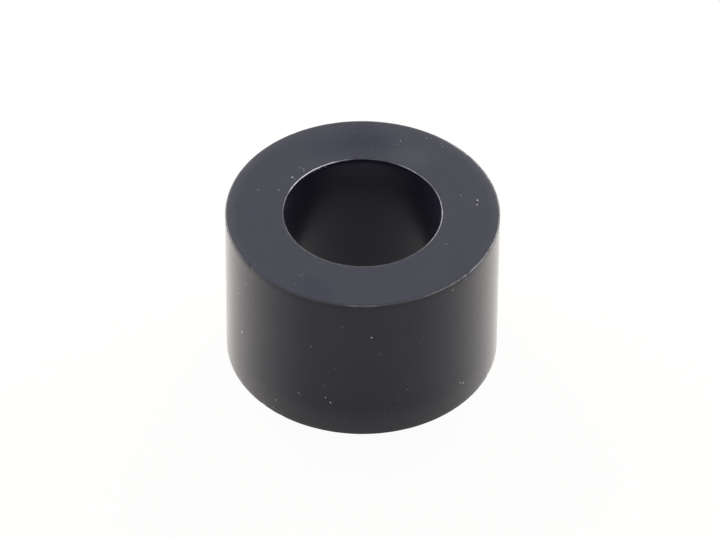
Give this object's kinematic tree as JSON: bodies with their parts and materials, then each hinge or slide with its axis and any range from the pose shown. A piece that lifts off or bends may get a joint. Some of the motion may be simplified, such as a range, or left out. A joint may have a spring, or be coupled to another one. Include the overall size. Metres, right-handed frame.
{
  "type": "clutch bushing",
  "caption": "Plain cylindrical bushing turned from black plastic, with a straight through bore, square end faces and lightly broken edges. It carries a pivot pin in a clutch linkage.",
  "frame": {"origin": "centre of the lower end face, on the bore's axis", "axes": "+Z along the bore's axis, from the lower end face to the upper one; the ring is round, so +X and +Y are any two square directions"},
  "size_m": [0.0222, 0.0222, 0.0143],
  "materials": {
    "plastic": "satin"
  },
  "bodies": {
    "root": {"bushing": "plastic"}
  },
  "joints": []
}
